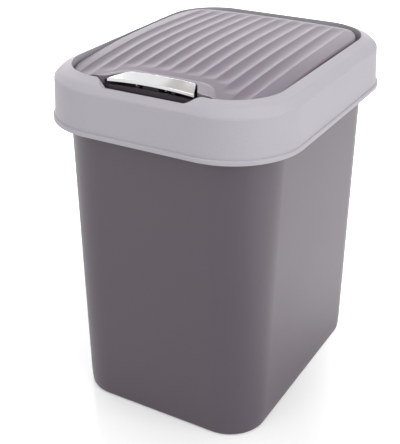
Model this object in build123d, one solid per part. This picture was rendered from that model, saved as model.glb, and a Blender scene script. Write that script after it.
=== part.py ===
from build123d import *

import math
import os
from dataclasses import dataclass

# A push-top bin: a tapered bucket, a lift-off collar and a fluted, sprung lid with a rocking push button.
# Millimetres, +Z up. The origin is on the floor under the middle of the bin, the front faces -Y and the
# hinge is at +Y. Each piece is written to parts/NAME.step where it sits with the lid shut.

# ---------------------------------------------------------------- bucket
FOOT_HALF_X = 87.7
FOOT_HALF_Y = 115.0
FOOT_RADIUS = 34.2
MOUTH_HALF_X = 94.3
MOUTH_HALF_Y = 118.6
MOUTH_RADIUS = 46.3
MOUTH_Z = 286.0
WALL = 2.0
SKY = 320.0
FLOOR_Z = 5.5
FOOT_RING = 9.0
FOOT_RECESS = 3.0
FOOT_EDGE_RADIUS = 2.5
FOOT_ROLL = ((0.0, 0.9), (5.5, 0.3), (12.5, 0.0))
RIM_REACH = 8.7
RIM_DROP = 10.0

# ---------------------------------------------------------------- collar
LIP_HALF_X = 108.0
LIP_HALF_Y = 132.5
LIP_RADIUS = 59.5
LIP_Z = 260.0
LIP_HEIGHT = 3.5
LIP_STEP = 1.4
LIP_ROUND = 1.2
SHOULDER_INSET = 3.1
SHOULDER_Z = 294.5
SHOULDER_RADIUS = 3.0
BAND_INSET = 8.6
BAND_Z = 299.7
BAND_RADIUS = 9.0
OPENING_INSET = 16.8
OPENING_INSET_Y = 17.8
RIM_RADIUS = 0.6
RIM_Z = 303.3
SKIRT = 1.8
SEAT_GAP = 0.1
RIB = 1.6

# ---------------------------------------------------------------- lid
LID_SIDE_GAP = 2.4
LID_FRONT_GAP = 1.3
LID_BACK_GAP = 3.0
LID_REAR_ROUNDING = 7.5
LID_SKIRT_Z = 292.5
LID_WALL = 2.0
CROWN_PEAK = (20.0, 306.9)
CROWN_FRONT_RADIUS = 1080.0
CROWN_BACK_RADIUS = 2000.0
CROWN_ROLL_Y = 88.0
CROWN_ROLL_RADIUS = 65.0
CROSS_RADIUS = 2240.0
CROSS_ROLL_X = 70.0
CROSS_ROLL_RADIUS = 115.0
LID_EDGE_RADIUS = 2.2
DOME_DEPTH = 16.0
FLUTE_PITCH = 13.9
FLUTE_COUNT = 11
FLUTE_LAND = 0.9
FLUTE_DEPTH = 1.3
FLUTE_SHALLOW = 0.02
FLUTE_OVERCUT = 0.4
FLUTE_CUTTER_TOP = 4.0
FLUTE_FRONT_Y = -81.0
FLUTE_SPREAD = 0.95
FLUTE_BACK_Y = 99.0
FLUTE_FADE_FRONT = 22.0
FLUTE_FADE_BACK = 20.0
FLUTE_STATIONS = 18
FLUTE_BOW = 0.046
FLUTE_BOW_Y = -13.0
BROW_TOP_Z = 304.2
BROW_EDGE = 3.8
BROW_SLOPE = ((15.5, 7.5), (7.5, 2.5), (3.0, 0.6), (0.0, 0.0))
BROW_WALL = 2.6

# ---------------------------------------------------------------- hinge
HINGE_Y = 100.0
HINGE_Z = 298.0
HINGE_PIN_RADIUS = 1.75
HINGE_PIN_X = (21.5, 45.8)
PIN_HEAD_HALF = 0.6
HINGE_EAR_X = (37.0, 40.0)
LUG_INNER_X = (22.0, 25.0)
LUG_OUTER_X = (42.0, 45.0)
LUG_HUB_RADIUS = 3.2
HINGE_COIL = 2.75
HINGE_WIRE = 0.5
EAR_RADIUS = 3.4
LUG_POCKET_X = (21.0, 47.0)
LUG_POCKET_Y = (94.5, 106.0)
LUG_POCKET_WALL = 1.7
LUG_FLOOR_Z = (279.0, 282.0)
LUG_FRONT_Y = 91.5
LUG_BACK = (98.4, 286.0)
LUG_PAD = 1.2
EAR_TOP_Z = 303.5
HINGE_RELIEF = 3.0
HINGE_RELIEF_X = 50.0
HINGE_SPRING_X = 27.5
HINGE_LEG = 15.0
WHOLE_TURNS = 3
WIRE_SIDES = 6
SPRING_SEAT = (84.5, 90.0)
SPRING_SEAT_WIDTH = 7.0

# ---------------------------------------------------------------- push button and latch
BUTTON_FRONT_Y = -113.0
BUTTON_BACK_Y = -95.6
BUTTON_FRONT_HALF = 38.0
BUTTON_BACK_HALF = 30.0
BUTTON_FRONT_Z = 304.8
BUTTON_BACK_Z = 305.9
BUTTON_SAG = 1.6
BUTTON_CORNER = 4.5
BUTTON_WALL = 1.4
BUTTON_LIP = 2.2
BUTTON_LOW_Z = BUTTON_FRONT_Z - BUTTON_SAG - BUTTON_LIP
BUTTON_FRONT_DRAFT = 0.28
BUTTON_SIDE_DRAFT = 0.08
BUTTON_EDGE = 0.7
CLIP_GAP = 0.2
CLIP_Y = (-110.5, -104.5)
CLIP_BOTTOM_Z = 300.4
POCKET_GAP = 0.9
POCKET_FRONT_HALF = 39.6
TRAY_CLEARANCE = 1.2
TRAY_WALL = 1.4
TRAY_SEAT = 0.3
TRAY_BACK_Y = -90.0
FRONT_WALL_BACK_Y = -110.0
TRAY_FLOOR_Z = (292.5, 294.0)
TRAY_FRONT_TOP_Z = 299.6
FLARE_HALF = 44.6
FLARE_FRONT_Y = -113.0
FLARE_BACK_Y = -110.6
POCKET_FRONT_Y = -117.5
PIVOT_Y = -101.5
PIVOT_Z = 299.0
PIVOT_PIN_RADIUS = 1.5
HUB_RADIUS = 2.9
EAR_X = (14.0, 17.0)
PIVOT_EAR = ((-106, 293.8), (-97.5, 293.8), (-98.6, 299.0), (-104.4, 299.0))
LEVER_HALF_X = 12.0
LEVER_HEAD_Y = (-110.3, -98.5)
LEVER_HEAD_Z = 301.9
HOOK_HALF_X = 7.0
HOOK_Y = (-111.2, -108.6)
HOOK_BOTTOM_Z = 286.8
HOOK_NOSE_TOP_Z = 290.2
HOOK_NOSE_Y = -113.3
HOOK_NOSE_DEPTH = 1.2
HOOK_SLOT_BACK_Y = -104.5
KEEPER_HALF_X = 10.3
KEEPER_Z = (290.5, 292.9)
KEEPER_TIP_Y = -113.85
RUNNING_GAP = 0.05
PRESS_GAP = 0.02
LEVER_COIL_X = 8.9
LEVER_COIL = 1.95
LEVER_WIRE = 0.33
LEVER_LEG = 4.4
SCREW_X = 46.0
SCREW_Y = -104.0
SCREW_RADIUS = 1.4
SCREW_HEAD = (2.7, 1.6)
SCREW_EAR = 4.0
SCREW_TIP_Z = 297.8
BOSS_RADIUS = 3.2

# ---------------------------------------------------------------- notch over the button
STOP_X = (54.0, 66.0)
STOP_Y = (-113.8, -110.4)
STOP_GAP = 0.3
NOTCH_REAR_HALF = 36.8
NOTCH_FRONT_HALF = 33.6
NOTCH_Y = -124.3
NOTCH_RADIUS = 4.5
NOTCH_DRAFT = 0.9
NOTCH_WING = 54.0
NOTCH_TOP_Z = 305.0
NOTCH_FLOOR_Z = 295.6
NOTCH_WALL = 1.2


@dataclass(frozen=True)
class Ring:
    """A rounded rectangle at a height, the outline that every moulding of the bin follows."""

    half_x: float
    half_y: float
    radius: float
    z: float
    y: float = 0.0
    rear_extra: float = 0.0

    def grow(self, by, z=None):
        """The same outline offset outwards, at its own height or another."""
        at = self.z if z is None else z
        return Ring(self.half_x + by, self.half_y + by, self.radius + by, at, self.y, self.rear_extra)

    def face(self):
        """The outline as a flat face, with the rear corners rounder than the front ones if asked."""
        flat = Rectangle(2 * self.half_x, 2 * self.half_y).face()
        corners = flat.vertices().sort_by(Axis.Y)
        flat = flat.fillet_2d(self.radius, corners[:2])
        flat = flat.fillet_2d(self.radius + self.rear_extra, flat.vertices().sort_by(Axis.Y)[-2:])
        return Pos(0, self.y, self.z) * flat

    def between(self, other, z):
        """The outline that a straight wall from this ring to another has at a height."""
        t = (z - self.z) / (other.z - self.z)
        mix = lambda a, b: a + (b - a) * t
        return Ring(
            mix(self.half_x, other.half_x),
            mix(self.half_y, other.half_y),
            mix(self.radius, other.radius),
            z,
        )


FOOT = Ring(FOOT_HALF_X, FOOT_HALF_Y, FOOT_RADIUS, 0.0)
MOUTH = Ring(MOUTH_HALF_X, MOUTH_HALF_Y, MOUTH_RADIUS, MOUTH_Z)
LIP = Ring(LIP_HALF_X, LIP_HALF_Y, LIP_RADIUS, LIP_Z)
SHOULDER = LIP.grow(-SHOULDER_INSET, SHOULDER_Z)
BAND = LIP.grow(-BAND_INSET, BAND_Z)
OPENING = Ring(
    LIP_HALF_X - OPENING_INSET, LIP_HALF_Y - OPENING_INSET_Y, LIP_RADIUS - OPENING_INSET, RIM_Z
)
LID_FRONT_Y = -OPENING.half_y + LID_FRONT_GAP
LID_BACK_Y = OPENING.half_y - LID_BACK_GAP
LID = Ring(
    OPENING.half_x - LID_SIDE_GAP,
    (LID_BACK_Y - LID_FRONT_Y) / 2,
    OPENING.radius - LID_SIDE_GAP,
    LID_SKIRT_Z,
    (LID_BACK_Y + LID_FRONT_Y) / 2,
    LID_REAR_ROUNDING,
)


def wall(lower, upper):
    """The solid between two rings."""
    return loft([lower.face(), upper.face()], ruled=True)


def prism(ring, height):
    """The ring extruded straight up."""
    return extrude(ring.face(), height)


def block(x, y, z):
    """A box from its spans along the three axes."""
    size = [span[1] - span[0] for span in (x, y, z)]
    middle = [(span[1] + span[0]) / 2 for span in (x, y, z)]
    return Pos(*middle) * Box(*size)


def rod(radius, x, y, z):
    """A round bar along X, between two values of x."""
    length = x[1] - x[0]
    return Pos((x[0] + x[1]) / 2, y, z) * Rot(0, 90, 0) * Cylinder(radius, length)


def plate(points, x):
    """A flat plate: a polygon of (y, z) points extruded between two values of x."""
    outline = Plane.YZ.offset(x[0]) * make_face(Polyline(*points, close=True))
    return extrude(outline, x[1] - x[0])


def both(reach):
    """A span that reaches equally far both ways."""
    return (-reach, reach)


def around(middle, reach):
    """A span that reaches equally far both ways from its middle."""
    return (middle - reach, middle + reach)


def span(pair, side):
    """A span of x on the left (-1) or right (+1) side."""
    return (pair[0], pair[1]) if side > 0 else (-pair[1], -pair[0])


def torsion_spring(x, y, z, coil, wire, forward_leg, depth):
    """A coil round an axis along X, with one leg forward off its top and one down and forward.

    The coil starts at x and winds towards +X. The lower leg's tip is depth below the axis.
    """
    leg_angle = math.degrees(math.atan2(-0.6, 0.8))
    sweep_angle = 360 * WHOLE_TURNS + 90 - leg_angle
    pitch = 2.2 * wire
    height = pitch * sweep_angle / 360
    coil_line = Helix(pitch, height, coil)
    start = Plane(origin=coil_line @ 0, z_dir=coil_line % 0)
    # The helix winds about Z from +X: its axis is turned to +X and its first point to the leg's angle.
    spring = Pos(x, y, z) * Rot(leg_angle, 0, 0) * Rot(0, 90, 0) * Rot(0, 0, 90) * sweep(
        start * RegularPolygon(wire, WIRE_SIDES), coil_line, is_frenet=True
    )
    sink = 2 * wire
    leg = extrude(RegularPolygon(1.04 * wire, WIRE_SIDES), 1)
    forward = Pos(x + height, y + sink, z + coil) * Rot(90, 0, 0)
    spring += forward * scale(leg, (1, 1, forward_leg + sink))
    a = math.radians(leg_angle)
    begin = Vector(x, y + coil * math.cos(a), z + coil * math.sin(a))
    along = Vector(0, math.sin(a), -math.cos(a))
    down_leg = (depth + coil * math.sin(a)) / math.cos(a) - wire
    return spring + Plane(origin=begin - along * sink, z_dir=along) * scale(leg, (1, 1, down_leg + sink))


# ---------------------------------------------------------------- the crown of the lid


def arc_drop(distance, radius):
    """How far an arc falls below its tangent at a distance along the tangent."""
    return radius - math.sqrt(radius**2 - distance**2)


def crown_z(y):
    """The height of the lid along its middle: a long arc each way from the peak, then a rear roll."""
    peak_y, peak_z = CROWN_PEAK
    if y <= peak_y:
        return peak_z - arc_drop(peak_y - y, CROWN_FRONT_RADIUS)
    if y <= CROWN_ROLL_Y:
        return peak_z - arc_drop(y - peak_y, CROWN_BACK_RADIUS)
    lean = math.asin((CROWN_ROLL_Y - peak_y) / CROWN_BACK_RADIUS)
    centre_y = CROWN_ROLL_Y - CROWN_ROLL_RADIUS * math.sin(lean)
    top = crown_z(CROWN_ROLL_Y) + CROWN_ROLL_RADIUS * (1 - math.cos(lean))
    return top - arc_drop(y - centre_y, CROWN_ROLL_RADIUS)


def cross_drop(x):
    """How far the lid falls below its middle at a distance to the side."""
    if abs(x) <= CROSS_ROLL_X:
        return arc_drop(abs(x), CROSS_RADIUS)
    lean = math.asin(CROSS_ROLL_X / CROSS_RADIUS)
    centre_x = CROSS_ROLL_X - CROSS_ROLL_RADIUS * math.sin(lean)
    lift = CROSS_ROLL_RADIUS * (1 - math.cos(lean))
    return cross_drop(CROSS_ROLL_X) - lift + arc_drop(abs(x) - centre_x, CROSS_ROLL_RADIUS)


def arcs_through(ends, height):
    """Tangent arcs that join the ends of each stretch, at the heights that a function gives."""
    arcs = []
    for a, b in zip(ends[:-1], ends[1:]):
        arcs.append(ThreePointArc(*[(v, height(v)) for v in (a, (a + b) / 2, b)]))
    return arcs


def dome(drop=0.0):
    """Everything under the lid's domed surface, lowered by drop: the cross arch swept along the crown."""
    front, back = LID_FRONT_Y - 3, LID_BACK_Y + 3
    side = LID.half_x + 3
    path = Plane.YZ * Wire(arcs_through((front, CROWN_PEAK[0], CROWN_ROLL_Y, back), crown_z))
    top = arcs_through((-side, -CROSS_ROLL_X, CROSS_ROLL_X, side), lambda x: -cross_drop(x))
    low = -DOME_DEPTH
    rest = Polyline(top[-1] @ 1, (side, low), (-side, low), top[0] @ 0)
    start = Plane(origin=path @ 0, x_dir=(1, 0, 0), z_dir=-(path % 0))
    return Pos(0, 0, -drop) * sweep(start * make_face([*top, rest]), path)


def flute_section(bow, depth):
    """The cross-section of one flute's cutter: a shallow arc between two crests, open upwards."""
    half = (FLUTE_PITCH * bow - FLUTE_LAND) / 2
    radius = half**2 / (2 * depth) + depth / 2
    reach = half + FLUTE_OVERCUT
    edge = radius - depth - math.sqrt(radius**2 - reach**2)
    arc = ThreePointArc((-reach, edge), (0, -depth), (reach, edge))
    lid = FLUTE_CUTTER_TOP
    return make_face([arc, Polyline(arc @ 1, (reach, lid), (-reach, lid), arc @ 0)])


def flute(x):
    """The cutter of one concave flute, which follows the dome, bows outwards and fades at both ends."""
    start = FLUTE_FRONT_Y - FLUTE_SPREAD * max(0.0, abs(x) - BUTTON_FRONT_HALF)
    sections = []
    for i in range(FLUTE_STATIONS + 1):
        y = start + (FLUTE_BACK_Y - start) * i / FLUTE_STATIONS
        swell = min(1.0, (y - start) / FLUTE_FADE_FRONT, (FLUTE_BACK_Y - y) / FLUTE_FADE_BACK)
        depth = FLUTE_SHALLOW + (FLUTE_DEPTH - FLUTE_SHALLOW) * swell**2 * (3 - 2 * swell)
        bow = 1 - FLUTE_BOW * ((y - FLUTE_BOW_Y) / 100) ** 2
        tilt = math.atan(x * bow / CROSS_RADIUS)
        origin = (x * bow, y, crown_z(y) - cross_drop(x * bow))
        across = Plane(origin=origin, x_dir=(math.cos(tilt), 0, -math.sin(tilt)), z_dir=(0, -1, 0))
        sections.append(across * flute_section(bow, depth))
    return loft(sections)


# ---------------------------------------------------------------- pieces of the bucket and collar


def make_bin_body():
    """The bucket: tapered walls that roll in at the foot, a recessed base and a rim for the collar."""
    rings = [FOOT.between(MOUTH, z).grow(-inset) for z, inset in FOOT_ROLL] + [MOUTH]
    outer = Part() + [wall(lower, upper) for lower, upper in zip(rings[:-1], rings[1:])]
    outer = fillet(level_edges(outer, 0.0), FOOT_EDGE_RADIUS)
    rim = prism(MOUTH.grow(RIM_REACH, MOUTH_Z - RIM_DROP), RIM_DROP)
    under_rim = prism(MOUTH.grow(RIM_REACH - WALL, MOUTH_Z - RIM_DROP), RIM_DROP - WALL)
    shell = outer + (rim - (under_rim - outer))
    inside = wall(
        FOOT.between(MOUTH, FLOOR_Z).grow(-WALL), FOOT.between(MOUTH, MOUTH_Z + 1).grow(-WALL)
    )
    recess = prism(FOOT.grow(-FOOT_RING), FOOT_RECESS)
    return shell - inside - recess


def collar_envelope():
    """The outside of the collar, filled solid: wall and sloping band up to the opening, and the lip."""
    filled = wall(LIP.grow(-LIP_STEP), SHOULDER) + wall(SHOULDER, BAND) + wall(BAND, OPENING)
    for ring, radius in ((BAND, BAND_RADIUS), (SHOULDER, SHOULDER_RADIUS), (OPENING, RIM_RADIUS)):
        filled = fillet(level_edges(filled, ring.z), radius)
    lip = prism(LIP, LIP_HEIGHT)
    return filled, fillet(level_edges(lip, LIP.z + LIP_HEIGHT), LIP_ROUND)


def level_edges(shape, z):
    """The edges that lie flat at a height."""
    flat = lambda e: abs(e.center().Z - z) < 1e-3 and e.bounding_box().size.Z < 1e-3
    return shape.edges().filter_by(flat)


def make_collar():
    """The collar: an outer wall with a lip, a sloping band, a skirt round the opening, and its lugs."""
    filled, lip = collar_envelope()
    under = wall(LIP.grow(-LIP_STEP - WALL), SHOULDER.grow(-WALL, SHOULDER_Z - 0.9))
    under += wall(SHOULDER.grow(-WALL, SHOULDER_Z - 0.9), BAND.grow(-0.8, BAND_Z - WALL))
    under += wall(BAND.grow(-0.8, BAND_Z - WALL), OPENING.grow(SKIRT, RIM_Z - 1.5 * WALL))
    skirt = prism(OPENING.grow(SKIRT, MOUTH_Z + SEAT_GAP), RIM_Z - MOUTH_Z)
    mouth = prism(OPENING.grow(0, LIP_Z - 1), RIM_Z - LIP_Z + 2)
    collar = filled + lip - (under - skirt)
    collar += collar_ribs() & filled
    collar -= mouth
    for side in (-1, 1):
        collar += hinge_bracket(side)
        collar += block(span(STOP_X, side), STOP_Y, (MOUTH_Z + SEAT_GAP, LID_SKIRT_Z - STOP_GAP))
    scoop = button_notch(NOTCH_WALL, NOTCH_FLOOR_Z - NOTCH_WALL) & filled
    collar += scoop - mouth
    collar -= button_notch(0.0, NOTCH_FLOOR_Z)
    slot_y = (-OPENING.half_y - SKIRT - 1, -OPENING.half_y + 1)
    return collar - block(both(KEEPER_HALF_X + 0.2), slot_y, (MOUTH_Z, KEEPER_Z[1] + 0.1))


def collar_ribs():
    """Gussets inside the collar, which stand on the rim of the bucket."""
    low, high = MOUTH_Z + SEAT_GAP, RIM_Z
    ribs = []
    for y in (-60, -20, 20, 60):
        for side in (-1, 1):
            x = span((OPENING.half_x, LIP_HALF_X), side)
            ribs.append(block(x, (y - RIB / 2, y + RIB / 2), (low, high)))
    for x in (-52, 52):
        ribs.append(block((x - RIB / 2, x + RIB / 2), (-LIP_HALF_Y, -OPENING.half_y), (low, high)))
    for x in (-60, -20, 20, 60):
        ribs.append(block((x - RIB / 2, x + RIB / 2), (OPENING.half_y, LIP_HALF_Y), (low, high)))
    return Part() + ribs


def hinge_bracket(side):
    """One hinge bracket: a pad on the back skirt, a floor under the lid's swing and two lugs."""
    across = span((LUG_INNER_X[0], LUG_OUTER_X[1]), side)
    back = OPENING.half_y
    pad = block(across, (back - LUG_PAD, back + 0.1), (LUG_FLOOR_Z[0], HINGE_Z))
    pad += block(across, (back - LUG_PAD, back + SKIRT), (MOUTH_Z + SEAT_GAP, HINGE_Z))
    floor = block(across, (LUG_FRONT_Y, back), LUG_FLOOR_Z)
    bracket = pad + floor
    outline = [
        (LUG_BACK[0], LUG_FLOOR_Z[0]),
        (LUG_FRONT_Y, LUG_FLOOR_Z[0]),
        (HINGE_Y - LUG_HUB_RADIUS, HINGE_Z),
        (HINGE_Y + LUG_HUB_RADIUS, HINGE_Z),
        LUG_BACK,
    ]
    for lug_x in (LUG_INNER_X, LUG_OUTER_X):
        x = span(lug_x, side)
        bracket += plate(outline, x) + rod(LUG_HUB_RADIUS, x, HINGE_Y, HINGE_Z)
    bore = span((LUG_INNER_X[0] - 1, LUG_OUTER_X[1] + 1), side)
    return bracket - rod(HINGE_PIN_RADIUS + PRESS_GAP, bore, HINGE_Y, HINGE_Z)


def notch_outline(by, z):
    """The finger scoop's outline at a height, offset outwards: its ends lean outwards as it rises."""
    lean = NOTCH_DRAFT * (z - NOTCH_FLOOR_Z) + by
    rear, front, edge = NOTCH_REAR_HALF + lean, NOTCH_FRONT_HALF + lean, -OPENING.half_y
    right = [(front, NOTCH_Y - by), (rear, edge), (NOTCH_WING, edge), (NOTCH_WING, edge + SKIRT)]
    left = [(-x, y) for x, y in reversed(right)]
    outline = make_face(Polyline(*right, *left, close=True))
    corners = outline.vertices().filter_by(lambda v: v.Y < edge + 0.01 and abs(v.X) < NOTCH_WING - 0.01)
    return Pos(0, 0, z) * fillet(corners, NOTCH_RADIUS)


def button_notch(by, low):
    """The finger scoop in the collar's front band, offset outwards, from a height up through the rim."""
    return loft([notch_outline(by, low), notch_outline(by, NOTCH_TOP_Z)], ruled=True)


def make_latch_keeper():
    """The strike that the hook catches under, set in the slot of the collar's front skirt."""
    low, high = KEEPER_Z
    back = -OPENING.half_y - SKIRT
    body = block(both(KEEPER_HALF_X + 2), (back - 2.0, back - PRESS_GAP), (low, high + 1.3))
    return body + block(both(KEEPER_HALF_X), (back - 0.1, KEEPER_TIP_Y), (low, high))


def make_hinge_pin(side):
    """A steel pin with a flat head at its outer end."""
    pin = rod(HINGE_PIN_RADIUS, span(HINGE_PIN_X, side), HINGE_Y, HINGE_Z)
    head = span(around(HINGE_PIN_X[1], PIN_HEAD_HALF), side)
    return pin + rod(LUG_HUB_RADIUS, head, HINGE_Y, HINGE_Z)


def make_hinge_spring(side):
    """A torsion spring round a hinge pin, one leg under the lid's seat and one on the bracket's floor."""
    down = HINGE_Z - LUG_FLOOR_Z[1] - HINGE_WIRE
    spring = torsion_spring(HINGE_SPRING_X, HINGE_Y, HINGE_Z, HINGE_COIL, HINGE_WIRE, HINGE_LEG, down)
    return spring if side > 0 else spring.mirror(Plane.YZ)


# ---------------------------------------------------------------- pieces of the lid


def make_lid_flap():
    """The lid: a fluted dome with a skirt, a brow round the button's pocket, hinge ears and bosses."""
    blank = prism(LID, 20) & dome()
    rim = [e for e in blank.edges() if e.center().Z > LID_SKIRT_Z + 4 and on_outline(e)]
    blank = fillet(rim, LID_EDGE_RADIUS)
    blank += brow(0.0) & prism(LID.grow(-0.2), 20)
    first = -(FLUTE_COUNT - 1) / 2
    for i in range(FLUTE_COUNT):
        blank -= flute((first + i) * FLUTE_PITCH)
    under = dome(LID_WALL + FLUTE_DEPTH) + brow(BROW_WALL)
    lid = blank - (prism(LID.grow(-LID_WALL, LID_SKIRT_Z - 1), 20) & under)
    fittings = Part()
    for side in (-1, 1):
        x = span(HINGE_EAR_X, side)
        fittings += block(x, around(HINGE_Y, 1.5 * EAR_RADIUS), (HINGE_Z, EAR_TOP_Z)) & blank
        fittings += rod(EAR_RADIUS, x, HINGE_Y, HINGE_Z)
        seat_z = HINGE_Z + HINGE_COIL + HINGE_WIRE + 0.15
        seat = span((HINGE_SPRING_X, HINGE_SPRING_X + SPRING_SEAT_WIDTH), side)
        fittings += block(seat, SPRING_SEAT, (seat_z, SKY)) & blank
        fittings += post(side, BOSS_RADIUS, (TRAY_FLOOR_Z[1] + 0.1, SKY)) & blank
    low_edge = (LID_SKIRT_Z - 1, HINGE_Z - HINGE_RELIEF)
    relief = block(both(HINGE_RELIEF_X), (HINGE_Y + 4.5, LIP_HALF_Y), low_edge)
    lid = lid - relief - hinge_pockets() + fittings
    for side in (-1, 1):
        bore = span((HINGE_EAR_X[0] - 1, HINGE_EAR_X[1] + 1), side)
        lid -= rod(HINGE_PIN_RADIUS + RUNNING_GAP, bore, HINGE_Y, HINGE_Z)
        lid -= post(side, SCREW_RADIUS, (TRAY_FLOOR_Z[1], SCREW_TIP_Z + 0.2))
    return lid - pocket(0.0, (LID_SKIRT_Z - 1, SKY))


def hinge_pockets():
    """Pockets under the lid's rear edge, which clear the collar's hinge lugs and the springs."""
    pockets = Part()
    for side in (-1, 1):
        pockets += block(span(LUG_POCKET_X, side), LUG_POCKET_Y, (LID_SKIRT_Z, SKY))
    return pockets & dome(LUG_POCKET_WALL)


def brow(drop):
    """The raised pad round the button: flat on top, with sides that roll down into the dome."""
    sections = []
    for spread, fall in BROW_SLOPE:
        sections.append(Pos(0, 0, BROW_TOP_Z - fall - drop) * pocket_plan(BROW_EDGE + spread))
    return loft(sections)


def on_outline(edge):
    """Whether an edge lies on the lid's outer side walls."""
    low = edge.bounding_box().min
    high = edge.bounding_box().max
    straight_x = LID.half_x - LID.radius
    middle = edge @ 0.5
    outward = max(abs(middle.X) - straight_x, 0), max(abs(middle.Y - LID.y) - (LID.half_y - LID.radius), 0)
    return math.hypot(*outward) > LID.radius - 0.05 and high.Z - low.Z < 5


def pocket_plan(by):
    """The outline of the button's pocket, offset outwards: it follows the button and flares in front."""
    right = [
        (FLARE_HALF + by, POCKET_FRONT_Y),
        (FLARE_HALF + by, FLARE_FRONT_Y),
        (POCKET_FRONT_HALF + by, FLARE_BACK_Y),
        (BUTTON_BACK_HALF + 0.6 * (POCKET_GAP + by), BUTTON_BACK_Y + POCKET_GAP + by),
    ]
    left = [(-x, y) for x, y in reversed(right)]
    outline = make_face(Polyline(*right, *left, close=True))
    return fillet(outline.vertices().sort_by(Axis.Y)[-2:], BUTTON_CORNER + POCKET_GAP + by)


def pocket(by, z):
    """The button's pocket between two heights."""
    return extrude(Pos(0, 0, z[0]) * pocket_plan(by), z[1] - z[0])


def make_latch_housing():
    """The dark tray under the button: walls round it, a floor with the hook's slot, and screw ears."""
    low, floor = TRAY_FLOOR_Z
    front = LID_FRONT_Y + TRAY_SEAT
    reach = FLARE_HALF + 2 * POCKET_GAP
    inside = TRAY_CLEARANCE - POCKET_GAP
    keep = block(both(reach), (front + LID_WALL, TRAY_BACK_Y), (low, SKY))
    keep += pocket(-TRAY_SEAT, (low, SKY)) & block(both(reach), (front, TRAY_BACK_Y), (low, SKY))
    tray = pocket(inside + TRAY_WALL, (low, BROW_TOP_Z - BROW_WALL - TRAY_SEAT)) & keep
    inner = pocket(inside, (floor, SKY))
    inner &= block(both(reach), (front + TRAY_WALL, TRAY_BACK_Y), (low, SKY))
    tray -= inner + above_front_wall(reach)
    for side in (-1, 1):
        ear = block(span((EAR_X[1], SCREW_X), side), around(SCREW_Y, SCREW_EAR), (low, floor))
        ear += post(side, SCREW_EAR, (low, floor))
        tray += ear - inner
        tray -= post(side, SCREW_RADIUS + TRAY_SEAT, (low - 1, floor + 1))
        tray += plate(PIVOT_EAR, span(EAR_X, side)) + rod(HUB_RADIUS, span(EAR_X, side), PIVOT_Y, PIVOT_Z)
    tray -= rod(PIVOT_PIN_RADIUS + PRESS_GAP, both(EAR_X[1] + 1), PIVOT_Y, PIVOT_Z)
    return tray - block(both(HOOK_HALF_X + 1), (front + TRAY_WALL, HOOK_SLOT_BACK_Y), (low - 1, floor + 1))


def above_front_wall(reach):
    """The space over the tray's front wall, which is cut down and sags to clear the button's lip."""
    top = TRAY_FRONT_TOP_Z
    arc = ThreePointArc((-reach, top - BUTTON_SAG), (0, top), (reach, top - BUTTON_SAG))
    over = make_face([arc, Polyline(arc @ 1, (reach, SKY), (-reach, SKY), arc @ 0)])
    return extrude(Plane.XZ.offset(-FRONT_WALL_BACK_Y) * over, LIP_HALF_Y + FRONT_WALL_BACK_Y)


def post(side, radius, z):
    """A round post on the line of a housing screw, between two heights."""
    return Pos(side * SCREW_X, SCREW_Y, (z[0] + z[1]) / 2) * Cylinder(radius, z[1] - z[0])


def make_housing_screw(side):
    """A self-tapping cross-head screw that holds the housing under the lid."""
    under = TRAY_FLOOR_Z[0]
    head = chamfer(post(side, SCREW_HEAD[0], (under - SCREW_HEAD[1], under)).edges().sort_by(Axis.Z)[0], 0.6)
    shank = post(side, SCREW_RADIUS - PRESS_GAP, (under - 0.5, SCREW_TIP_Z))
    slot, width = 0.6 * SCREW_HEAD[0], 0.15 * SCREW_HEAD[0]
    cross = Box(2 * slot, 2 * width, 2 * width) + Box(2 * width, 2 * slot, 2 * width)
    return shank + head - Pos(side * SCREW_X, SCREW_Y, under - SCREW_HEAD[1]) * cross


def make_lever_pin():
    """The steel pin that the button and its lever rock on."""
    return rod(PIVOT_PIN_RADIUS, both(EAR_X[1] + 0.5), PIVOT_Y, PIVOT_Z)


def make_lever_spring():
    """The torsion spring that lifts the button back after a push."""
    depth = PIVOT_Z - TRAY_FLOOR_Z[1]
    return torsion_spring(LEVER_COIL_X, PIVOT_Y, PIVOT_Z, LEVER_COIL, LEVER_WIRE, LEVER_LEG, depth)


# ---------------------------------------------------------------- pieces of the push button


def button_top(drop, half=BUTTON_FRONT_HALF + 4):
    """Everything under the button's top, which rises to the back and sags to both ends."""
    slope = math.atan2(BUTTON_BACK_Z - BUTTON_FRONT_Z, BUTTON_BACK_Y - BUTTON_FRONT_Y)
    sag = BUTTON_SAG * (half / BUTTON_FRONT_HALF) ** 2
    arc = ThreePointArc((-half, -sag), (0, 0), (half, -sag))
    section = make_face([arc, Polyline(arc @ 1, (half, -20), (-half, -20), arc @ 0)])
    run = extrude(Plane.XZ * section, 50, both=True)
    return Pos(0, BUTTON_FRONT_Y, BUTTON_FRONT_Z - drop) * Rot(math.degrees(slope), 0, 0) * run


def button_outline(by, z):
    """The button's outline at a height, offset outwards: it draws in as it rises, most at the front."""
    rise = z - BUTTON_LOW_Z
    front = BUTTON_FRONT_Y - by + BUTTON_FRONT_DRAFT * rise
    right = [
        (BUTTON_FRONT_HALF + by - BUTTON_SIDE_DRAFT * rise, front),
        (BUTTON_BACK_HALF + by - BUTTON_SIDE_DRAFT * rise, BUTTON_BACK_Y + by),
    ]
    left = [(-x, y) for x, y in reversed(right)]
    outline = make_face(Polyline(*right, *left, close=True))
    return Pos(0, 0, z) * fillet(outline.vertices().sort_by(Axis.Y)[-2:], BUTTON_CORNER + by)


def button_wedge(by, low):
    """The button's drafted block, offset outwards, from a height up past its top."""
    return loft([button_outline(by, low), button_outline(by, BUTTON_BACK_Z + 1)], ruled=True)


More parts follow.
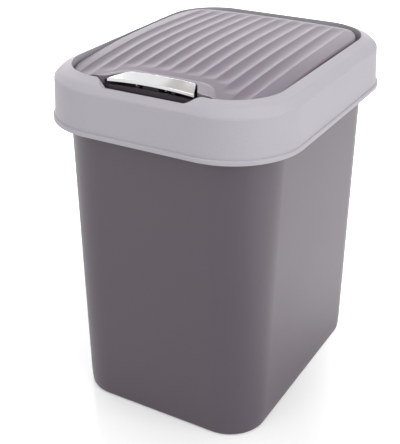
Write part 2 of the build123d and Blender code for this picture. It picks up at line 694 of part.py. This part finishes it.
def make_push_button():
    """The plated cap: a sloping cambered face over a shallow lip all round, open below."""
    low = BUTTON_LOW_Z
    solid = button_wedge(0, low) & button_top(0)
    hollow = button_wedge(-BUTTON_WALL, low - 1) & button_top(BUTTON_WALL)
    cap = solid - hollow - button_top(BUTTON_LIP)
    edges = [e for e in cap.edges() if e.center().Z > low + 0.1 and edge_of_face(e)]
    cap = fillet(edges, BUTTON_EDGE)
    for side in (-1, 1):
        x = span((LEVER_HALF_X + CLIP_GAP, LEVER_HALF_X + BUTTON_WALL), side)
        cap += block(x, CLIP_Y, (CLIP_BOTTOM_Z, SKY)) & button_top(BUTTON_WALL / 2)
    return cap


def edge_of_face(edge):
    """Whether an edge bounds the button's top face."""
    middle = edge @ 0.5
    slope = (BUTTON_BACK_Z - BUTTON_FRONT_Z) / (BUTTON_BACK_Y - BUTTON_FRONT_Y)
    sag = BUTTON_SAG * (middle.X / BUTTON_FRONT_HALF) ** 2
    top = BUTTON_FRONT_Z + slope * (middle.Y - BUTTON_FRONT_Y) - sag
    return abs(middle.Z - top) < 0.25


def make_latch_lever():
    """The rocking lever: a hub on the pin, a block clipped into the cap, and the hook below."""
    beside_spring = (-LEVER_HALF_X, LEVER_COIL_X - 0.5)
    front, back = HOOK_Y
    lever = rod(HUB_RADIUS, beside_spring, PIVOT_Y, PIVOT_Z)
    head = block(both(LEVER_HALF_X), LEVER_HEAD_Y, (LEVER_HEAD_Z, SKY))
    lever += head & button_top(BUTTON_WALL + CLIP_GAP)
    lever += block(beside_spring, around(PIVOT_Y, HUB_RADIUS), (PIVOT_Z, LEVER_HEAD_Z + 1))
    lever += block(both(HOOK_HALF_X), (front, PIVOT_Y), (PIVOT_Z - PIVOT_PIN_RADIUS, LEVER_HEAD_Z + 0.1))
    lever += block(both(HOOK_HALF_X), HOOK_Y, (HOOK_BOTTOM_Z, PIVOT_Z))
    nose = [
        (back, HOOK_BOTTOM_Z),
        (front, HOOK_BOTTOM_Z),
        (HOOK_NOSE_Y, HOOK_NOSE_TOP_Z - HOOK_NOSE_DEPTH),
        (HOOK_NOSE_Y, HOOK_NOSE_TOP_Z),
        (back, HOOK_NOSE_TOP_Z),
    ]
    lever += plate(nose, both(HOOK_HALF_X))
    return lever - rod(PIVOT_PIN_RADIUS + RUNNING_GAP, both(LEVER_HALF_X + 1), PIVOT_Y, PIVOT_Z)


PIECES = {
    "bin_body": make_bin_body,
    "collar": make_collar,
    "latch_keeper": make_latch_keeper,
    "hinge_pin_left": lambda: make_hinge_pin(-1),
    "hinge_pin_right": lambda: make_hinge_pin(1),
    "hinge_spring_left": lambda: make_hinge_spring(-1),
    "hinge_spring_right": lambda: make_hinge_spring(1),
    "lid_flap": make_lid_flap,
    "latch_housing": make_latch_housing,
    "housing_screw_left": lambda: make_housing_screw(-1),
    "housing_screw_right": lambda: make_housing_screw(1),
    "lever_pin": make_lever_pin,
    "lever_spring": make_lever_spring,
    "push_button": make_push_button,
    "latch_lever": make_latch_lever,
}


def main():
    """Builds every piece and writes it to its own file."""
    os.makedirs("parts", exist_ok=True)
    for name, make in PIECES.items():
        export_step(make(), os.path.join("parts", name + ".step"))
        print(name)


if __name__ == "__main__":
    main()
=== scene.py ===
"""Dresses a push-top countertop bin: moulded plastic, plating and steel, in a white studio."""

import logging
import math
from dataclasses import dataclass
from enum import Enum
from functools import lru_cache
from typing import Any

import bmesh
import bpy
from mathutils import Matrix, Vector


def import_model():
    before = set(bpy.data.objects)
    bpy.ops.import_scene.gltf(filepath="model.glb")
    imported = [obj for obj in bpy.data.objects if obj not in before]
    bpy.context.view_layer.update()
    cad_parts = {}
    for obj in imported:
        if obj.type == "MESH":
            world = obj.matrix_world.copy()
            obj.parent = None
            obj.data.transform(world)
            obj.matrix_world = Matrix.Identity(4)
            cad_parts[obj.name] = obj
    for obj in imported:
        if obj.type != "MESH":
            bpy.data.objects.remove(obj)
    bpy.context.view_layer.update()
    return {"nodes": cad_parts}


log = logging.getLogger("bin")

MM = 0.001

Colour = tuple[float, float, float]
Value = Any

WHITE: Colour = (1.0, 1.0, 1.0)


class Body(Enum):
    """The rigid bodies of the bin, by their names in the frame."""

    BUCKET = "bucket"
    COLLAR = "collar_ring"
    LID = "lid"
    ROCKER = "rocker"


# ---------------------------------------------------------------- shader building


class Socket:
    """An output socket that takes Python's arithmetic and adds the Math nodes for it."""

    def __init__(self, graph: "Graph", socket: bpy.types.NodeSocket) -> None:
        """Keeps the socket and the graph that new nodes go into."""
        self.graph = graph
        self.socket = socket

    def math(self, operation: str, *others: Value, clamp: bool = False) -> "Socket":
        """Adds one Math node.

        Args:
            operation: the Math node's operation.
            others: the further inputs, as numbers or sockets.
            clamp: whether the result is kept between 0 and 1.

        Returns:
            The node's output.
        """
        settings = {"operation": operation, "use_clamp": clamp}
        return self.graph.add("ShaderNodeMath", settings, dict(enumerate([self, *others])))

    def __add__(self, other: Value) -> "Socket":
        """self + other."""
        return self.math("ADD", other)

    def __radd__(self, other: Value) -> "Socket":
        """other + self."""
        return self.math("ADD", other)

    def __sub__(self, other: Value) -> "Socket":
        """self - other."""
        return self.math("SUBTRACT", other)

    def __rsub__(self, other: Value) -> "Socket":
        """other - self."""
        return self.graph.wrap(other).math("SUBTRACT", self)

    def __mul__(self, other: Value) -> "Socket":
        """self * other."""
        return self.math("MULTIPLY", other)

    def __rmul__(self, other: Value) -> "Socket":
        """other * self."""
        return self.math("MULTIPLY", other)

    def clamped(self) -> "Socket":
        """The value kept between 0 and 1."""
        return self.math("ADD", 0.0, clamp=True)

    def ramp(self, low: float, high: float) -> "Socket":
        """A smooth step from 0 at low to 1 at high."""
        settings = {"interpolation_type": "SMOOTHSTEP"}
        values = {"Value": self, "From Min": low, "From Max": high}
        return self.graph.add("ShaderNodeMapRange", settings, values)


class Graph:
    """A node tree under construction."""

    def __init__(self, tree: bpy.types.NodeTree) -> None:
        """Empties the tree and takes it over."""
        self.tree = tree
        tree.nodes.clear()

    def make(self, kind: str, settings: dict[str, Any], values: dict[Any, Value]) -> bpy.types.Node:
        """Adds a node, sets it up, then fills or links its inputs.

        Args:
            kind: the node's type name.
            settings: attributes of the node, set before its inputs.
            values: numbers, colours or sockets, by input name or index.

        Returns:
            The node.
        """
        node = self.tree.nodes.new(kind)
        for name, value in settings.items():
            setattr(node, name, value)
        for name, value in values.items():
            if isinstance(value, Socket):
                self.tree.links.new(value.socket, node.inputs[name])
            else:
                node.inputs[name].default_value = value
        return node

    def add(
        self, kind: str, settings: dict[str, Any], values: dict[Any, Value], output: Any = 0
    ) -> Socket:
        """Adds a node as make does.

        Args:
            kind: the node's type name.
            settings: attributes of the node.
            values: numbers, colours or sockets, by input name or index.
            output: the name or index of the output that is wanted.

        Returns:
            That output.
        """
        return Socket(self, self.make(kind, settings, values).outputs[output])

    def wrap(self, number: float) -> Socket:
        """A number as a socket."""
        value = self.make("ShaderNodeValue", {}, {})
        value.outputs[0].default_value = number
        return Socket(self, value.outputs[0])

    def place(self, stretch: tuple[float, float, float] = (1.0, 1.0, 1.0)) -> Socket:
        """The piece's own coordinates in metres, stretched along the axes."""
        point = self.add("ShaderNodeTexCoord", {}, {}, "Object")
        return self.add("ShaderNodeMapping", {}, {"Vector": point, "Scale": stretch})

    def along(self, axis: str) -> Socket:
        """One of the piece's own coordinates, in metres."""
        return self.add("ShaderNodeSeparateXYZ", {}, {0: self.place()}, axis)

    def ray(self, kind: str) -> Socket:
        """1 for rays of a kind, and 0 for the others."""
        return self.add("ShaderNodeLightPath", {}, {}, kind)

    def noise(self, place: Socket, size: float, detail: float = 2.0, rough: float = 0.5) -> Socket:
        """Noise between 0 and 1.

        Args:
            place: the coordinates.
            size: the width of its features, in metres.
            detail: the number of finer layers.
            rough: how strong the finer layers are.

        Returns:
            The noise.
        """
        values = {"Vector": place, "Scale": 1.0 / size, "Detail": detail, "Roughness": rough}
        return self.add("ShaderNodeTexNoise", {}, values)

    def tint(self, low: Colour, high: Colour, factor: Socket) -> Socket:
        """A colour between two, by a factor from 0 to 1."""
        values = {0: factor, 6: (*low, 1.0), 7: (*high, 1.0)}
        return self.add("ShaderNodeMix", {"data_type": "RGBA"}, values, 2)

    def bump(self, height: Socket, depth: float) -> Socket:
        """A normal bent by a height from 0 to 1, where 1 stands depth metres high."""
        values = {"Height": height, "Distance": depth, "Strength": 1.0}
        return self.add("ShaderNodeBump", {}, values, "Normal")


def scaled(colour: Colour, by: float) -> Colour:
    """A colour made lighter or darker."""
    return tuple(min(1.0, channel * by) for channel in colour)


# ---------------------------------------------------------------- finishes


@dataclass(frozen=True)
class Finish:
    """A finish that becomes a Principled material."""

    name: str
    colour: Colour
    roughness: float

    @lru_cache(maxsize=None)
    def material(self) -> bpy.types.Material:
        """Builds the material, once for each finish."""
        material = bpy.data.materials.new(self.name)
        material.use_nodes = True
        graph = Graph(material.node_tree)
        surface = graph.add("ShaderNodeBsdfPrincipled", {}, self.inputs(graph))
        graph.make("ShaderNodeOutputMaterial", {}, {"Surface": surface})
        return material

    def inputs(self, graph: Graph) -> dict[str, Value]:
        """The shader's inputs."""
        return {"Base Color": (*self.colour, 1.0), "Roughness": self.roughness}


@dataclass(frozen=True)
class MouldedPlastic(Finish):
    """Moulded polypropylene: a fine spark-eroded grain, faint flow clouds and a soft sheen."""

    grain: float = 0.55 * MM
    grain_depth: float = 0.012 * MM
    grain_detail: float = 3.0
    grain_rough: float = 0.6
    grain_sheen: float = 0.12
    cloud: float = 60 * MM
    cloud_detail: float = 3.0
    cloud_strength: float = 0.04
    cloud_sheen: float = 0.05
    fleck_size: float = 1.7
    fleck_strength: float = 0.05
    shade_reach: float = 0.5
    ior: float = 1.49

    def inputs(self, graph: Graph) -> dict[str, Value]:
        """Colour clouds and flecks, a grained bump, and roughness that follows both."""
        place = graph.place()
        grain = graph.noise(place, self.grain, self.grain_detail, self.grain_rough)
        cloud = graph.noise(place, self.cloud, self.cloud_detail)
        fleck = graph.noise(place, self.fleck_size * self.grain, 1.0)
        clouds = (cloud - 0.5) * (2 * self.cloud_strength)
        flecks = (fleck - 0.5) * (2 * self.fleck_strength)
        low = scaled(self.colour, 1 - self.shade_reach)
        high = scaled(self.colour, 1 + self.shade_reach)
        sheen = self.roughness + (grain - 0.5) * self.grain_sheen + (cloud - 0.5) * self.cloud_sheen
        return {
            "Base Color": graph.tint(low, high, (clouds + flecks + 0.5).clamped()),
            "Roughness": sheen.clamped(),
            "IOR": self.ior,
            "Normal": graph.bump(grain, self.grain_depth),
        }


@dataclass(frozen=True)
class PlatedPlastic(Finish):
    """Bright plating over moulded plastic, with the faint waviness of the moulding under it."""

    wave: float = 7 * MM
    wave_depth: float = 0.010 * MM
    haze: float = 3 * MM
    haze_detail: float = 3.0
    haze_sheen: float = 0.05
    haze_shade: float = 0.96

    def inputs(self, graph: Graph) -> dict[str, Value]:
        """A metal with a slow waviness and a trace of polishing haze."""
        place = graph.place()
        haze = graph.noise(place, self.haze, self.haze_detail)
        return {
            "Base Color": graph.tint(scaled(self.colour, self.haze_shade), self.colour, haze),
            "Metallic": 1.0,
            "Roughness": (haze * self.haze_sheen + self.roughness).clamped(),
            "Normal": graph.bump(graph.noise(place, self.wave, 1.0), self.wave_depth),
        }


@dataclass(frozen=True)
class DrawnSteel(Finish):
    """Drawn or turned steel, with fine lines along the piece's length."""

    line: float = 0.25 * MM
    line_depth: float = 0.004 * MM
    line_detail: float = 3.0
    line_sheen: float = 0.2
    line_shade: float = 0.82
    draw: float = 24.0

    def inputs(self, graph: Graph) -> dict[str, Value]:
        """A metal whose brightness and roughness vary in lines along X."""
        lines = graph.noise(graph.place((1.0 / self.draw, 1.0, 1.0)), self.line, self.line_detail)
        return {
            "Base Color": graph.tint(scaled(self.colour, self.line_shade), self.colour, lines),
            "Metallic": 1.0,
            "Roughness": (self.roughness + (lines - 0.5) * self.line_sheen).clamped(),
            "Normal": graph.bump(lines, self.line_depth),
        }


BUCKET_PLASTIC = MouldedPlastic("satin_plum_grey", (0.077, 0.059, 0.078), 0.42)
COLLAR_PLASTIC = MouldedPlastic("satin_light_grey", (0.390, 0.372, 0.410), 0.58)
LID_PLASTIC = MouldedPlastic("satin_mauve", (0.164, 0.136, 0.171), 0.53)
TRAY_PLASTIC = MouldedPlastic("satin_dark_plum", (0.045, 0.034, 0.045), 0.40)
LEVER_PLASTIC = MouldedPlastic("satin_black", (0.030, 0.024, 0.030), 0.45)
KEEPER_PLASTIC = MouldedPlastic("natural_acetal", (0.62, 0.60, 0.57), 0.38)
BRIGHT_PLATE = PlatedPlastic("polished_plating", (0.77, 0.765, 0.775), 0.05)
PIN_STEEL = DrawnSteel("turned_steel", (0.62, 0.62, 0.60), 0.28)
SPRING_STEEL = DrawnSteel("drawn_wire", (0.42, 0.42, 0.43), 0.34)


# ---------------------------------------------------------------- sub-assemblies


@dataclass
class SubAssembly:
    """A group of CAD pieces that ride on one body."""

    body: Body

    def finishes(self) -> dict[str, Finish]:
        """The finish of each piece, by its node's name."""
        return {}

    def dress(self, nodes: dict[str, bpy.types.Object]) -> None:
        """Gives each piece its material.

        Args:
            nodes: the frame's objects by name.
        """
        for name, finish in self.finishes().items():
            slots = nodes[name].data.materials
            slots.clear()
            slots.append(finish.material())
            log.info("%s on %s: %s", name, self.body.value, finish.name)


@dataclass
class Bucket(SubAssembly):
    """The tapered bucket."""

    body: Body = Body.BUCKET
    wall: Finish = BUCKET_PLASTIC

    def finishes(self) -> dict[str, Finish]:
        """The bucket is a single moulding."""
        return {"bin_body": self.wall}


@dataclass
class Collar(SubAssembly):
    """The lift-off collar with the latch's keeper and the hinge's pins and springs."""

    body: Body = Body.COLLAR
    ring: Finish = COLLAR_PLASTIC
    keeper: Finish = KEEPER_PLASTIC
    pin: Finish = PIN_STEEL
    spring: Finish = SPRING_STEEL

    def finishes(self) -> dict[str, Finish]:
        """The ring and keeper, and a pin and a spring on each side."""
        return {
            "collar": self.ring,
            "latch_keeper": self.keeper,
            "hinge_pin_left": self.pin,
            "hinge_spring_left": self.spring,
            "hinge_pin_right": self.pin,
            "hinge_spring_right": self.spring,
        }


@dataclass
class Lid(SubAssembly):
    """The fluted lid with the latch's housing."""

    body: Body = Body.LID
    flap: Finish = LID_PLASTIC
    tray: Finish = TRAY_PLASTIC
    steel: Finish = PIN_STEEL
    spring: Finish = SPRING_STEEL

    def finishes(self) -> dict[str, Finish]:
        """The flap and tray, with the lever's pin and spring and the tray's screws."""
        return {
            "lid_flap": self.flap,
            "latch_housing": self.tray,
            "lever_pin": self.steel,
            "lever_spring": self.spring,
            "housing_screw_left": self.steel,
            "housing_screw_right": self.steel,
        }


@dataclass
class Rocker(SubAssembly):
    """The plated button and the lever under it."""

    body: Body = Body.ROCKER
    cap: Finish = BRIGHT_PLATE
    lever: Finish = LEVER_PLASTIC

    def finishes(self) -> dict[str, Finish]:
        """The cap and its lever."""
        return {"push_button": self.cap, "latch_lever": self.lever}


# ---------------------------------------------------------------- studio


@dataclass(frozen=True)
class Panel:
    """A soft light panel that faces the bin."""

    name: str
    place: tuple[float, float, float]
    width: float
    height: float
    power: float
    aim: tuple[float, float, float] = (0.0, 0.0, 0.15)

    def light(self) -> None:
        """Adds the panel's lamp."""
        data = bpy.data.lights.new(self.name, "AREA")
        data.shape = "RECTANGLE"
        data.size = self.width
        data.size_y = self.height
        data.energy = self.power
        lamp = bpy.data.objects.new(self.name, data)
        lamp.location = self.place
        facing = Vector(self.aim) - Vector(self.place)
        lamp.rotation_euler = facing.to_track_quat("-Z", "Y").to_euler()
        bpy.context.scene.collection.objects.link(lamp)


PANELS = (
    Panel("top_panel", (0.3, -0.2, 1.8), 1.6, 1.6, 12.0),
    Panel("left_panel", (-1.6, 0.8, 0.95), 1.4, 1.1, 8.5),
    Panel("back_panel", (-0.9, 1.8, 0.72), 1.6, 0.5, 13.0),
    Panel("front_panel", (-0.3, -1.8, 1.15), 1.4, 1.0, 8.0),
    Panel("right_panel", (1.8, -0.2, 0.75), 1.4, 1.2, 15.5),
)


@dataclass
class Studio:
    """A white floor, soft panels, a white surround and the camera."""

    floor_colour: Colour = (0.80, 0.80, 0.80)
    floor_radius: float = 6.0
    floor_drop: float = 0.1 * MM
    floor_facets: int = 96
    floor_roughness: float = 0.12
    floor_gloss: float = 0.35
    # Painted light: the floor's glow for the camera and mirrors, weak near the foot and strong
    # behind, to the right and far away.
    floor_glow: tuple[float, float] = (0.22, 1.0)
    glow_from: tuple[float, float] = (0.03, 0.36)
    glow_reach: tuple[float, float] = (0.26, 1.20)
    surround: float = 0.60
    wall_colour: Colour = (0.67, 0.65, 0.63)
    wall_edge: tuple[float, float] = (-0.50, -0.47)
    patch_size: float = 0.05
    patch_edge: tuple[float, float] = (0.56, 0.61)
    camera_turn: float = 30.03
    camera_rise: float = 27.59
    camera_distance: float = 0.83428
    camera_roll: float = -0.28
    camera_side: float = -0.01964
    camera_height: float = 0.13892
    lens: float = 73.99
    sensor: float = 36.0

    def white_for_eye(self, graph: Graph, seen: Value, lit: float) -> Socket:
        """A strength that differs between what the camera and mirrors see and what lights the bin.

        Args:
            graph: the tree to add to.
            seen: the strength for camera, glossy and transmission rays.
            lit: the strength for every other ray.

        Returns:
            The strength.
        """
        mirrored = graph.ray("Is Glossy Ray") + graph.ray("Is Transmission Ray")
        eye = (graph.ray("Is Camera Ray") + mirrored).clamped()
        return eye * seen + (1 - eye) * lit

    def build_world(self) -> None:
        """Sets the surround: white, with a warm wall, patched with white, that only mirrors see."""
        world = bpy.data.worlds.new("surround")
        bpy.context.scene.world = world
        world.use_nodes = True
        graph = Graph(world.node_tree)
        way = graph.add("ShaderNodeTexCoord", {}, {}, "Generated")
        across = graph.add("ShaderNodeSeparateXYZ", {}, {0: way}, "X")
        patch = graph.noise(way, self.patch_size, 0.0).ramp(*self.patch_edge)
        wall = across.ramp(*self.wall_edge) * (1 - patch) * graph.ray("Is Glossy Ray")
        colour = graph.tint(WHITE, self.wall_colour, wall)
        strength = self.white_for_eye(graph, 1.0, self.surround)
        surface = graph.add("ShaderNodeBackground", {}, {"Color": colour, "Strength": strength})
        graph.make("ShaderNodeOutputWorld", {}, {"Surface": surface})

    def floor_paint(self) -> bpy.types.Material:
        """The floor's paint: white, with the shade kept near the foot, and clear from under. Its
        glow for the camera and mirrors is painted light: weaker near the foot, which darkens the
        floor there, and stronger behind, to the right and further away, which brightens what the
        bucket's right side mirrors.
        """
        material = bpy.data.materials.new("floor_paint")
        material.use_nodes = True
        graph = Graph(material.node_tree)
        near, far = self.floor_glow
        right, deep = graph.along("X"), graph.along("Y")
        # Painted light: the glow rises behind and to the right of the foot and with distance, and
        # stays low near the foot, which darkens the floor there.
        behind = (right + deep).ramp(*self.glow_from)
        away = (right * right + deep * deep).math("SQRT").ramp(*self.glow_reach)
        glow = (behind + away).clamped() * (far - near) + near
        values = {
            "Base Color": (*self.floor_colour, 1.0),
            "Roughness": self.floor_roughness,
            "Specular IOR Level": self.floor_gloss,
            "Emission Color": (*WHITE, 1.0),
            "Emission Strength": self.white_for_eye(graph, glow, 0.0),
        }
        paint = graph.add("ShaderNodeBsdfPrincipled", {}, values)
        clear = graph.add("ShaderNodeBsdfTransparent", {}, {})
        under = graph.add("ShaderNodeNewGeometry", {}, {}, "Backfacing")
        surface = graph.add("ShaderNodeMixShader", {}, {0: under, 1: paint, 2: clear})
        graph.make("ShaderNodeOutputMaterial", {}, {"Surface": surface})
        return material

    def build_floor(self) -> None:
        """Lays the floor, a large disc just under the bin's foot."""
        shape = bmesh.new()
        bmesh.ops.create_circle(
            shape, cap_ends=True, segments=self.floor_facets, radius=self.floor_radius
        )
        bmesh.ops.translate(shape, vec=(0.0, 0.0, -self.floor_drop), verts=shape.verts)
        mesh = bpy.data.meshes.new("floor")
        shape.to_mesh(mesh)
        shape.free()
        mesh.materials.append(self.floor_paint())
        floor = bpy.data.objects.new("floor", mesh)
        bpy.context.scene.collection.objects.link(floor)

    def build_camera(self) -> None:
        """Sets the camera by its turn, rise and distance, with its small roll."""
        turn = math.radians(self.camera_turn)
        rise = math.radians(self.camera_rise)
        level = Vector((math.sin(turn), -math.cos(turn), 0.0))
        back = level * math.cos(rise) + Vector((0.0, 0.0, math.sin(rise)))
        across = Vector((math.cos(turn), math.sin(turn), 0.0))
        target = across * self.camera_side + Vector((0.0, 0.0, self.camera_height))
        facing = Matrix((across, back.cross(across), back)).transposed().to_4x4()
        roll = Matrix.Rotation(math.radians(self.camera_roll), 4, "Z")
        data = bpy.data.cameras.new("camera")
        data.sensor_width = self.sensor
        data.lens = self.lens
        camera = bpy.data.objects.new("camera", data)
        place = Matrix.Translation(target + back * self.camera_distance)
        camera.matrix_world = place @ facing @ roll
        bpy.context.scene.collection.objects.link(camera)
        bpy.context.scene.camera = camera

    def build(self) -> None:
        """Builds the whole studio."""
        self.build_world()
        self.build_floor()
        for panel in PANELS:
            panel.light()
        self.build_camera()
        bpy.context.scene.view_settings.view_transform = "Standard"


def main() -> None:
    """Loads the frame, dresses each sub-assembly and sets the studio."""
    logging.basicConfig(level=logging.INFO, format="%(name)s %(message)s")
    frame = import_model()
    for part in (Bucket(), Collar(), Lid(), Rocker()):
        part.dress(frame["nodes"])
    Studio().build()


if __name__ == "__main__":
    main()
